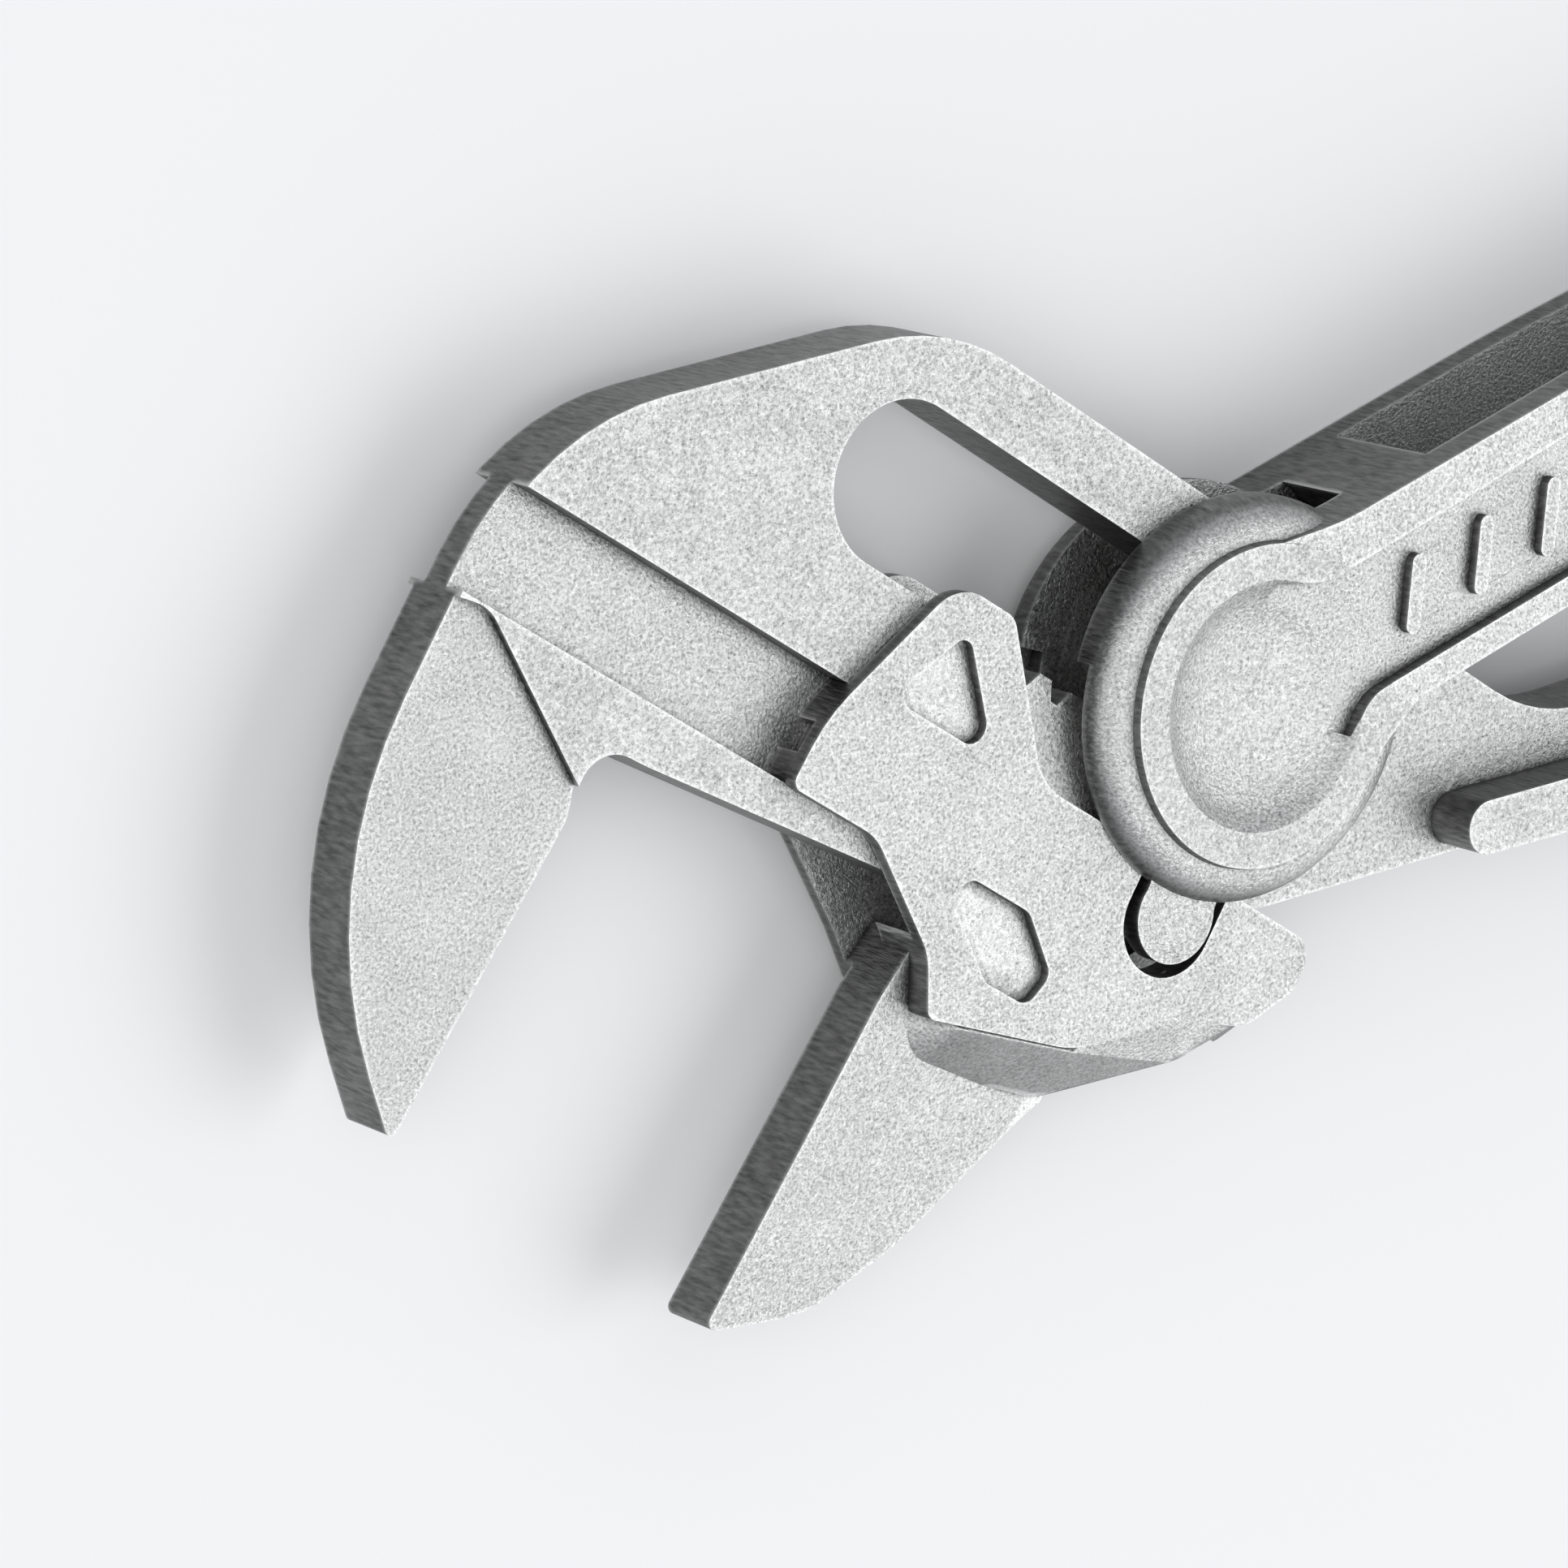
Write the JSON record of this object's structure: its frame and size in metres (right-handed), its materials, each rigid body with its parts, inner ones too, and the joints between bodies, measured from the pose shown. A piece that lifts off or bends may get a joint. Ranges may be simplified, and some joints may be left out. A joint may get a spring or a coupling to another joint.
{
  "type": "adjustable parallel-jaw pliers wrench",
  "caption": "Small adjustable pliers wrench of plated forged steel: fixed jaw, rack window, sliding jaw and ribbed hollow lever handle.",
  "frame": {"origin": "hinge axis where it meets the rear face of the hub", "axes": "+X along the handles away from the jaws, +Y across the tool from the inner handle to the lever, +Z out of the front face along the hinge axis"},
  "size_m": [0.1, 0.0412, 0.009],
  "materials": {
    "plated_steel": "satin nickel-chrome over blasted forging",
    "hardened_steel": "dark hardened steel"
  },
  "bodies": {
    "fixed_jaw": {"fixed_jaw_body": "plated_steel"},
    "bolt_carriage": {"toothed_hinge_bolt": "hardened_steel"},
    "lever": {"lever_handle": "plated_steel", "rear_bearing_disc": "plated_steel"},
    "jaw": {"sliding_jaw": "plated_steel"}
  },
  "joints": [
    {"name": "size_adjust", "type": "slide", "parent": "fixed_jaw", "child": "bolt_carriage", "axis": [0.788, -0.6157, 0], "range_m": [-0.016, 0.002]},
    {"name": "lever_swing", "type": "hinge", "parent": "bolt_carriage", "child": "lever", "pos_m": [0, 0, 0.0045], "axis": [0, 0, 1], "range_deg": [-8, 19.5]},
    {"name": "jaw_travel", "type": "slide", "parent": "bolt_carriage", "child": "jaw", "axis": [0.788, -0.6157, 0], "range_m": [-0.0014, 0.0034]}
  ],
  "couplings": [
    {"joint": "jaw_travel", "follows": "lever_swing", "m_per_rad": 0.0095}
  ]
}
